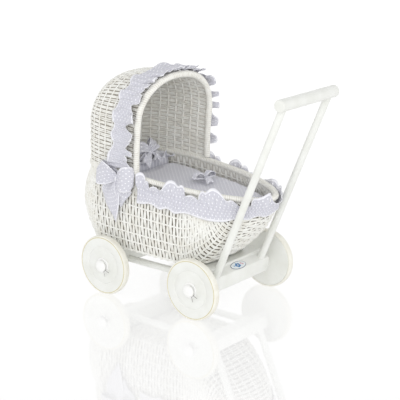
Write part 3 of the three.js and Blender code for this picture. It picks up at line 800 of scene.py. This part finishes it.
def tubFrillPlace(u, v):
    core, out, ring, run = frillPath()
    total = run[-1]
    across = 2 * v - 1                        # -1 at the lower edge, 1 at the upper edge
    upper, lower = np.clip(across, 0, 1), np.clip(-across, 0, 1)
    along = u * total
    phase = waves(along, tubFrill["wave"])
    lowPhase = waves(along + 200, tubFrill["wave"] * 0.75)
    away = smooth(np.minimum(u, 1 - u), 0, 0.04)
    moved = np.clip(along - upper ** 1.4 * 3.2 * np.sin(2 * phase) * away, 0, total)

    def read(values, where):
        return np.stack([np.interp(where, run, values[:, i]) for i in range(values.shape[1])], 1)

    ahead, behind = (read(ring, np.clip(moved + step, 0, total))[:, :2] for step in (4, -4))
    tangent = unit(ahead - behind)
    outward = np.stack([tangent[:, 1], -tangent[:, 0]], 1)
    gathers = gathered(along, across, 1.7, 23) + folded(along, across, 6.5, 27)
    small = waves(along + 90, tubFrill["wave"] / 3.1)
    height = -23 + across * 28 + upper ** 1.4 * (tubFrill["swing"] * 0.9 * np.sin(phase) + 5 * np.sin(small))
    footward = smooth(-np.interp(moved, run, ring[:, 0]), 120, 200)
    height += lower ** 1.5 * 3.2 * np.sin(lowPhase) + lower * 10 * footward
    rays, directions = read(core, moved), unit(read(out, moved))
    base = hullPoint(rays, directions, 1 + np.minimum(height, 0) / 180)
    base[:, 2] += np.maximum(height, 0)
    lift = mixed(rim["radius"] + 2.4, 3.4, smooth(-height, 6, 26)) + gathers
    lift += upper ** 1.3 * (4 + tubFrill["lift"] * 0.6 * (np.cos(phase + 0.8) + np.cos(small)))
    lift += lower * 1.6 * (1 + np.cos(lowPhase))
    base[:, :2] += outward * lift[:, None]
    return base


def makeFrills():
    sheetPiece("hood_frill_cloth", (420, 16), hoodFrillPlace, hoodFrill["flat"], hoodFrill["edge"],
               ["hood_frill"])
    sheetPiece("tub_frill_cloth", (560, 14), tubFrillPlace, tubFrill["flat"], tubFrill["edge"],
               ["tub_frill"])


makeFrills()
print("frills gathered")

# bows: a loop each way, two tails and the wrap round the middle
sideBow = {"knot": (142, 134, 300), "ribbon": 50}
duvetBow = {"knot": (-14, -8, 299), "ribbon": 20}
pillowBow = {"knot": (176, -22, 330), "ribbon": 30}


def frameOf(along, outward):
    along, outward = Vector(along).normalized(), Vector(outward).normalized()
    across = outward.cross(along).normalized()
    outward = along.cross(across).normalized()
    return np.array(along), np.array(across), np.array(outward)


def loopPlace(knot, along, outward, reach, width, open, puff):
    a, c, o = frameOf(along, outward)

    def place(u, v):
        side = 2 * v - 1
        turn = 2 * math.pi * u
        share = (1 - np.cos(turn)) / 2
        out = reach * share * (1 - 0.16 * side ** 2 * share)
        spread = 0.24 + 0.8 * np.sin(math.pi / 2 * np.minimum(1, share * 1.2)) ** 0.8 - 0.08 * share ** 2
        pleat = 2.6 * np.cos(side * 10 + 1) * (1 - share) ** 0.6 + 1.2 * np.cos(side * 6) * share
        high = open * np.sin(turn) + puff * np.sin(math.pi * share) + pleat
        high += 1.8 * side ** 2 * np.sin(turn / 2)
        sideways = side * width / 2 * spread + 0.1 * reach * np.sin(turn / 2) ** 2
        points = np.outer(out, a) + np.outer(sideways, c) + np.outer(high, o)
        return points + knot
    return place


def tailPlace(knot, along, outward, reach, width, slant, sag):
    a, c, o = frameOf(along, outward)

    def place(u, v):
        side = 2 * v - 1
        out = reach * u * (1 + slant * side * u)
        spread = 0.22 + 0.78 * np.sin(math.pi / 2 * u) ** 0.8
        folds = 2.2 * np.cos(side * 7 + 1) * (1 - u) ** 0.7 + 2.4 * np.sin(side * 3.6 + 2 * u) * u
        high = 2 + folds + sag * u * u + 3 * np.sin(math.pi * u)
        return np.outer(out, a) + np.outer(side * width / 2 * spread, c) + np.outer(high, o) + knot
    return place


def knotPlace(knot, along, outward, length, thick):
    a, c, o = frameOf(along, outward)

    def place(u, v):
        turn = 2 * math.pi * v
        share = 2 * u - 1
        r = thick * (1 - 0.35 * share ** 2 + 0.08 * np.sin(3 * turn + 5 * u) + 0.05 * np.sin(26 * u))
        return (np.outer(share * length / 2, c) + np.outer(r * np.cos(turn), a)
                + np.outer(r * np.sin(turn) * 0.8 + thick * 0.3, o) + knot)
    return place


def makeBow(name, bow, outward, loops, tails, replaced=()):
    knot = np.array(bow["knot"], float)
    width = bow["ribbon"]
    edge = width * 0.07
    nodes = list(replaced)
    for i, (direction, reach, wide, open, puff) in enumerate(loops):
        place = loopPlace(knot, direction, outward, reach, wide, open, puff)
        sheetPiece(f"{name}_loop_{i + 1}", (44, 20), place, (reach * 2.1, wide), edge, nodes)
        nodes = []
    for i, (direction, reach, wide, slant, sag) in enumerate(tails):
        place = tailPlace(knot, direction, outward, reach, wide, slant, sag)
        sheetPiece(f"{name}_tail_{i + 1}", (28, 20), place, (reach * 1.02, wide), edge)
    bm = gridMesh((14, 16), knotPlace(knot, loops[0][0], outward, width * 0.42, width * 0.17), closeV=True)
    bmesh.ops.holes_fill(bm, edges=[e for e in bm.edges if e.is_boundary], sides=0)
    bmesh.ops.recalc_face_normals(bm, faces=bm.faces)
    keep(f"{name}_knot", bm, [dotsByPlace], "pram")


for side, sign in (("left", 1), ("right", -1)):
    bow = dict(sideBow, knot=(sideBow["knot"][0], sign * sideBow["knot"][1], sideBow["knot"][2]))
    makeBow(f"side_bow_{side}", bow, (0, sign, 0.12),
            [((0.96, 0, 0.28), 66, 60, 10, 5), ((-0.98, 0, -0.05), 52, 64, 10, 6)],
            [((0.4, 0, -0.92), 84, 74, 0.3, -3), ((-0.45, 0, -0.9), 58, 50, -0.2, -2)],
            [f"side_bow_{side}"])
makeBow("duvet_bow", duvetBow, (0.1, 0, 1),
        [((0.35, 0.94, 0.05), 38, 21, 6, 4), ((-0.2, -0.98, 0.05), 35, 21, 6, 4)],
        [((0.8, -0.6, -0.12), 34, 20, 0.1, -3), ((-0.9, 0.4, -0.15), 32, 20, -0.1, -3)], ["duvet_bow"])
makeBow("pillow_bow", pillowBow, (-0.75, 0, 0.66),
        [((0.35, 0.86, 0.38), 46, 34, 7, 5), ((0.3, -0.9, 0.3), 44, 34, 7, 5)],
        [((-0.3, 0.75, -0.55), 40, 32, 0.1, -2), ((-0.2, -0.8, -0.5), 40, 32, -0.1, -2)])
print("bows tied")

# bedding, stuffed by a cloth simulation from the solids of the frame
stuffing = {"voxel": 5.0, "pressure": 4.0, "frames": 20}
duvet = {"cap": (2.0, 7.0), "crease": 3.2}
pillow = {"cap": (3.0, 9.0)}
pillowFrill = {"flat": (270, 24), "edge": 4, "wave": 34}


def copyOfNode(name, node):
    bm = bmesh.new()
    bm.from_mesh(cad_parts[node].data)
    bmesh.ops.remove_doubles(bm, verts=bm.verts, dist=0.05 * mm)
    return linked(name, meshOf(name, bm))


def applied(piece):
    bpy.context.view_layer.update()
    mesh = bpy.data.meshes.new_from_object(piece.evaluated_get(bpy.context.evaluated_depsgraph_get()))
    piece.modifiers.clear()
    piece.data = mesh


def pointsOf(mesh):
    points = np.empty(len(mesh.vertices) * 3)
    mesh.vertices.foreach_get("co", points)
    return points.reshape(-1, 3)


def stuffed(name, node, cap):
    piece = copyOfNode(name, node)
    remesh = piece.modifiers.new("remesh", "REMESH")
    remesh.mode = "VOXEL"
    remesh.voxel_size = stuffing["voxel"] * mm
    applied(piece)
    before = pointsOf(piece.data)
    cloth = piece.modifiers.new("cloth", "CLOTH")
    cloth.settings.use_pressure = True
    cloth.settings.uniform_pressure_force = stuffing["pressure"]
    cloth.settings.effector_weights.gravity = 0
    cloth.settings.quality = 4
    for step in range(1, stuffing["frames"] + 1):
        scene.frame_set(step)
    applied(piece)
    scene.frame_set(1)
    moved = pointsOf(piece.data) - before
    sideways, upward = cap[0] * mm, cap[1] * mm
    flat = np.linalg.norm(moved[:, :2], axis=1)
    moved[:, :2] *= np.minimum(1, sideways / np.maximum(flat, 1e-9))[:, None]
    moved[:, 2] = np.clip(moved[:, 2], -1 * mm, upward)
    return piece, before + moved


def finishBedding(piece, points, look, node):
    piece.data.vertices.foreach_set("co", points.ravel())
    piece.data.update()
    bm = bmesh.new()
    bm.from_mesh(piece.data)
    for _ in range(3):
        bmesh.ops.smooth_vert(bm, verts=bm.verts, factor=0.5, use_axis_x=True, use_axis_y=True,
                              use_axis_z=True)
    bpy.data.objects.remove(piece)
    name = f"{node}_stuffed"
    kept = keep(name, bm, [look], "pram", [node])
    finer = kept.modifiers.new("smooth", "SUBSURF")
    finer.levels = finer.render_levels = 1
    return kept


def makeDuvet():
    piece, points = stuffed("duvet_start", "duvet", duvet["cap"])
    knot = placed([duvetBow["knot"]])[0]
    away = (points - knot) / mm
    angle, far = np.arctan2(away[:, 1], away[:, 0]), np.hypot(away[:, 0], away[:, 1])
    onTop = smooth(points[:, 2] / mm, 268, 284)
    rays = np.cos(angle * 5 + 0.8) ** 8 + 0.7 * np.cos(angle * 3.5 + 2.0) ** 10
    dent = duvet["crease"] * rays * np.exp(-far / 55) + 5 * np.exp(-(far / 14) ** 2)
    quilt = 1.2 * np.sin(points[:, 0] / mm / 31) * np.sin(points[:, 1] / mm / 27 + 1)
    points[:, 2] += (quilt - dent) * onTop * mm
    finishBedding(piece, points, dotsByPlace, "duvet")


def makePillow():
    piece, points = stuffed("pillow_start", "pillow", pillow["cap"])
    x, y = points[:, 0] / mm - shiftX, points[:, 1] / mm
    onTop = smooth(points[:, 2] / mm, 300, 320)
    dent = 3 * np.exp(-((y + 20) / 60) ** 2 - ((x - 235) / 40) ** 2)
    points[:, 2] += (1.5 * np.sin(y / 13 + x / 40) * onTop - dent * onTop) * mm
    finishBedding(piece, points, dotsByPlace, "pillow")


def pillowFrillPlace(u, v):
    y = mixed(-100, 100, u)
    phase = waves(u * 200, pillowFrill["wave"])
    edge = v ** 1.3
    x = 178 - 3 * (1 - (y / 100) ** 2) - edge * (15 + 6 * np.sin(phase))
    pleats = 1.2 * np.sin(u * 200 / 1.3) * (1 - v)
    z = 300 + 6 * (1 - (y / 104) ** 2) + edge * (14 + 9 * np.cos(phase + 0.6)) + pleats
    return np.stack([x, y + edge * 5 * np.sin(2 * phase), z], 1)


def makeMattress():
    piece, points = stuffed("mattress_start", "mattress", (1.0, 2.0))
    finishBedding(piece, points, ticking, "mattress")


makeMattress()
makeDuvet()
makePillow()
sheetPiece("pillow_frill_cloth", (160, 10), pillowFrillPlace, pillowFrill["flat"], pillowFrill["edge"])
print("bedding stuffed")

# wheels, turned on a lathe about the axle; seen from outside, y runs outwards
wheel = {"disc": 70, "tyre": 75, "inner": 139, "width": 18, "groove": 47, "flange": 19.5, "cap": 15,
         "capBase": 162.4, "axle": 75, "round": 1.6, "bore": 3.5, "sleeve": 11, "segments": 96}
halfTurn = Matrix.Rotation(math.pi, 3, "Z")


def turned(profile):
    bm = bmesh.new()
    verts = [bm.verts.new((r * mm, y * mm, 0)) for r, y in profile]
    edges = [bm.edges.new((verts[i], verts[(i + 1) % len(verts)])) for i in range(len(verts))]
    bmesh.ops.spin(bm, geom=verts + edges, cent=(0, 0, 0), axis=(0, 1, 0), angle=2 * math.pi,
                   steps=wheel["segments"], use_merge=True, use_duplicate=False)
    bmesh.ops.remove_doubles(bm, verts=bm.verts, dist=0.01 * mm)
    bmesh.ops.recalc_face_normals(bm, faces=bm.faces)
    return bm


def arc(centreR, centreY, radius, start, end, steps=5):
    return [(centreR + radius * math.cos(math.radians(a)), centreY + radius * math.sin(math.radians(a)))
            for a in np.linspace(start, end, steps)]


def discProfile():
    inner, outer = wheel["inner"], wheel["inner"] + wheel["width"]
    edge, g = wheel["disc"] - wheel["round"], wheel["groove"]
    groove = [(g + 2.2, 0), (g + 1.2, -0.5), (g, -1.3), (g - 1.2, -0.5), (g - 2.2, 0)]
    return [(11.4, inner), *arc(edge, inner + wheel["round"], wheel["round"], -90, 0),
            *arc(edge, outer - wheel["round"], wheel["round"], 0, 90),
            *[(r, outer + y) for r, y in groove], (32, outer + 0.3), (24, outer + 0.3), (11.4, outer)]


def tyreProfile():
    middle, half, seat = wheel["inner"] + wheel["width"] / 2, wheel["width"] / 2 - 0.4, wheel["disc"] + 0.3
    bulge = wheel["tyre"] - seat - 0.7
    crown = [(seat + 0.7 + bulge * max(0, math.cos(t)) ** 0.6, middle + half * math.sin(t))
             for t in np.linspace(-math.pi / 2, math.pi / 2, 15)]
    return [(seat, middle - half + 0.8), *crown, (seat, middle + half - 0.8)]


def bushProfile():
    face, flange = wheel["inner"] + wheel["width"] + 0.4, wheel["flange"]
    bore, sleeve, start = wheel["bore"], wheel["sleeve"], wheel["inner"] - 0.5
    return [(bore, start), (sleeve, start), (sleeve, face), (flange, face),
            *arc(flange - 1.3, face + 0.7, 1.3, 0, 90), (flange - 4, face + 1.6), (bore, face + 1.6)]


def capProfile():
    base, r, bore = wheel["capBase"], wheel["cap"], wheel["bore"]
    dome = [(r * math.cos(t), base + 2 + 7.5 * math.sin(t)) for t in np.linspace(0, math.pi / 2, 12)]
    return [(bore, base), (r - 0.6, base), (r, base + 0.6), *dome[:-1],
            (0.01, base + 9.5), (0.01, base + 5), (bore, base + 5)]


def lineProfile():
    outer, r = wheel["inner"] + wheel["width"], wheel["disc"]
    return [(r - 0.9, outer - 1.1), (r + 0.7, outer - 1.1), (r + 0.7, outer - 0.15), (r - 0.9, outer - 0.05)]


wheelParts = (("wheel_disc", discProfile(), beech, "painted_wood", True),
              ("tyre", tyreProfile(), rubber, "cream_rubber", True),
              ("wheel_bush", bushProfile(), nylon, "white_plastic", True),
              ("tyre_line", lineProfile(), oliveLine, "cream_rubber", True),
              ("hub_cap", capProfile(), nylon, "white_plastic", False))


def makeWheels():
    for end, axle in (("front", frontAxle), ("rear", rearAxle)):
        for side, sign in (("left", 1), ("right", -1)):
            for part, profile, look, slotName, turns in wheelParts:
                bm = turned(profile)
                if sign < 0:
                    bmesh.ops.rotate(bm, verts=bm.verts, cent=(0, 0, 0), matrix=halfTurn)
                bmesh.ops.translate(bm, verts=bm.verts, vec=(axle.x * mm, 0, wheel["axle"] * mm))
                node = f"{part}_{end}_{side}"
                body = f"wheel_{end}_{side}" if turns else "pram"
                replaced = [node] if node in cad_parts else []
                piece = keep(f"{part}_turned_{end}_{side}", bm, [look], body, replaced)
                piece.data.set_sharp_from_angle(angle=math.radians(50))


makeWheels()
print("wheels turned")

# dowels and beams
dowel = {"postR": 9, "postY": 88.5, "lean": 23.1, "foot": (-127.4, 97.7), "sunk": 20, "grip": 474.6,
         "gripR": 14.5, "gripHalf": 109, "railR": 8.5, "railY": 80, "railZ": 77, "railEnds": (-92, 171)}
beam = {"half": 111, "ease": 2.4,
        "rear": ((-136, 60), (-98, 60), (-58, 94), (-58, 110), (-112.5, 110), (-112.5, 104), (-136, 94)),
        "front": ((157, 67), (190, 67), (190, 110), (157, 110)), "endCut": (12, 11)}


def onPost(distance, y):
    lean = math.radians(dowel["lean"])
    x, z = dowel["foot"]
    return Vector((x - distance * math.sin(lean), y, z + distance * math.cos(lean)))


def dowelMesh(start, end, radius, ease):
    along = end - start
    bm = bmesh.new()
    bmesh.ops.create_cone(bm, cap_ends=True, segments=48, radius1=radius * mm, radius2=radius * mm,
                          depth=along.length * mm)
    caps = [e for e in bm.edges if all(len(f.verts) in (4, 48) for f in e.link_faces)
            and {len(f.verts) for f in e.link_faces} == {4, 48}]
    bmesh.ops.bevel(bm, geom=caps, offset=ease * mm, offset_type="OFFSET", segments=4, profile=0.5,
                    affect="EDGES", material=-1)
    bmesh.ops.rotate(bm, verts=bm.verts, cent=(0, 0, 0), matrix=along.to_track_quat("Z", "Y").to_matrix())
    middle = Vector(placed([(start + end) / 2])[0])
    bmesh.ops.translate(bm, verts=bm.verts, vec=middle)
    return bm


def pushOut(bm, faces, vec):
    pushed = bmesh.ops.extrude_face_region(bm, geom=faces)
    bmesh.ops.translate(bm, verts=[v for v in pushed["geom"] if isinstance(v, bmesh.types.BMVert)], vec=vec)


def beamMesh(outline, cut):
    bm = bmesh.new()
    half = beam["half"]
    verts = [bm.verts.new(placed([(x, -half, z)])[0]) for x, z in outline]
    pushOut(bm, [bm.faces.new(verts)], (0, 2 * half * mm, 0))
    if cut:
        for sign in (1, -1):
            across, up = beam["endCut"]
            low = min(z for _, z in outline)
            point = placed([(0, sign * (half - across), low)])[0]
            normal = Vector((0, sign * up, -across))
            sliced = bmesh.ops.bisect_plane(bm, geom=bm.verts[:] + bm.edges[:] + bm.faces[:],
                                            plane_co=point, plane_no=normal, clear_outer=True)
            edges = [g for g in sliced["geom_cut"] if isinstance(g, bmesh.types.BMEdge)]
            bmesh.ops.contextual_create(bm, geom=edges)
    bmesh.ops.recalc_face_normals(bm, faces=bm.faces)
    bmesh.ops.bevel(bm, geom=[e for e in bm.edges if e.calc_face_angle(0) > 0.3], offset=beam["ease"] * mm,
                    offset_type="OFFSET", segments=3, profile=0.5, affect="EDGES", material=-1)
    return bm


def keepWood(name, bm, node):
    piece = keep(name, bm, [beech], "pram", [node])
    piece.data.set_sharp_from_angle(angle=math.radians(40))


def makeChassis():
    keepWood("rear_beam_planed", beamMesh(beam["rear"], True), "rear_beam")
    keepWood("front_beam_planed", beamMesh(beam["front"], False), "front_beam")
    grip = onPost(dowel["grip"], 0)
    half = Vector((0, dowel["gripHalf"], 0))
    keepWood("handle_grip_turned", dowelMesh(grip - half, grip + half, dowel["gripR"], 3), "handle_grip")
    for side, sign in (("left", 1), ("right", -1)):
        y = sign * dowel["postY"]
        post = dowelMesh(onPost(-dowel["sunk"], y), onPost(dowel["grip"] - 6, y), dowel["postR"], 0.8)
        keepWood(f"handle_post_turned_{side}", post, f"handle_post_{side}")
        start, end = (Vector((x, sign * dowel["railY"], dowel["railZ"])) for x in dowel["railEnds"])
        keepWood(f"rail_turned_{side}", dowelMesh(start, end, dowel["railR"], 0.8), f"rail_{side}")


label = {"size": (54, 25), "centre": (-124.25, 99), "ink": 0.25,
         "buds": (((-12, 2.5), "#D9A9B4"), ((-15.5, -1.5), "#D9A9B4"), ((14.5, 1), "#8FB2D6"))}


def labelPiece(name, size, at, lift, colour, thick, node=()):
    lean = math.radians(dowel["lean"])
    bm = bmesh.new()
    bmesh.ops.create_circle(bm, cap_ends=True, segments=48, radius=0.5 * mm)
    bmesh.ops.scale(bm, verts=bm.verts, vec=(size[1], size[0], 1))
    bmesh.ops.translate(bm, verts=bm.verts, vec=(at[1] * mm, at[0] * mm, lift * mm))
    pushOut(bm, bm.faces[:], (0, 0, thick * mm))
    bmesh.ops.recalc_face_normals(bm, faces=bm.faces)
    bmesh.ops.rotate(bm, verts=bm.verts, cent=(0, 0, 0), matrix=Matrix.Rotation(-lean, 3, "Y"))
    x, z = label["centre"]
    bmesh.ops.translate(bm, verts=bm.verts, vec=placed([(x, 0, z)])[0])
    keep(name, bm, [makePrint(name, colour)], "pram", node, flat=True)


def makeLabel():
    length, height = label["size"]
    labelPiece("label_outline", (length, height), (0, 0), 0.3, "#7D8494", 0.6, ["label_plate"])
    labelPiece("label_face", (length - 3, height - 3), (0, 0), 0.4, "#E9F0F6", 0.75)
    for i in range(5):                       # a plain five-petalled flower and three buds
        angle = 2 * math.pi * i / 5
        at = (5 * math.cos(angle) + 2, 4.4 * math.sin(angle))
        labelPiece(f"label_petal_{i + 1}", (8, 7), at, 1.0, "#5B8CC0", label["ink"])
    labelPiece("label_flower_heart", (5, 4.5), (2, 0), 1.2, "#DCE8F2", label["ink"])
    for i, (at, colour) in enumerate(label["buds"]):
        labelPiece(f"label_bud_{i + 1}", (5.5, 4.5), at, 1.0, colour, label["ink"])


makeChassis()
makeLabel()
for node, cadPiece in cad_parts.items():          # fittings keep their shape and only get a look
    metal = "clip" in node or "axle" in node[-5:] or "screw" in node
    if metal or "spacer" in node:
        cadPiece.data.materials.clear()
        cadPiece.data.materials.append(zinc if metal else nylon)
print("chassis and label done")

# floor and light
studio = {"floor": {"Base Color": (0.3, 0.3, 0.3, 1), "Roughness": 0.04, "IOR": 2.2,
                    "Emission Color": (1, 1, 1, 1), "Emission Strength": 0.57},
          "sky": {1: 0.45, 2: 0.95, 3: 1.03, 4: 0.52},      # white walls all round, dimmer overhead
          "aim": (0, 0, 0.25),
          "lamps": (("key", (-1.9, 2.0, 1.3), 2.0, 21), ("fill", (1.9, 1.5, 1.3), 2.2, 3))}


def makeStage():
    bm = bmesh.new()
    bmesh.ops.create_grid(bm, x_segments=1, y_segments=1, size=12)
    floor = linked("floor", meshOf("floor", bm))
    floor.data.materials.append(newMaterial("studio_floor", studio["floor"])[0])
    world = bpy.data.worlds.new("studio")
    scene.world = world
    world.use_nodes = True
    sky = world.node_tree
    sky.nodes["Background"].inputs[0].default_value = (1, 1, 1, 1)
    source = addNode(sky, "ShaderNodeTexCoord", {})
    height = addNode(sky, "ShaderNodeSeparateXYZ", {0: source.outputs["Generated"]})
    strength = addNode(sky, "ShaderNodeMapRange", {0: height.outputs[2], **studio["sky"]})
    sky.links.new(strength.outputs[0], sky.nodes["Background"].inputs[1])
    for name, place, size, watts in studio["lamps"]:
        data = bpy.data.lights.new(name, "AREA")
        data.size = size
        data.energy = watts
        aimedAt(linked(name, data), Vector(place), Vector(studio["aim"]))


makeStage()
print("stage set")
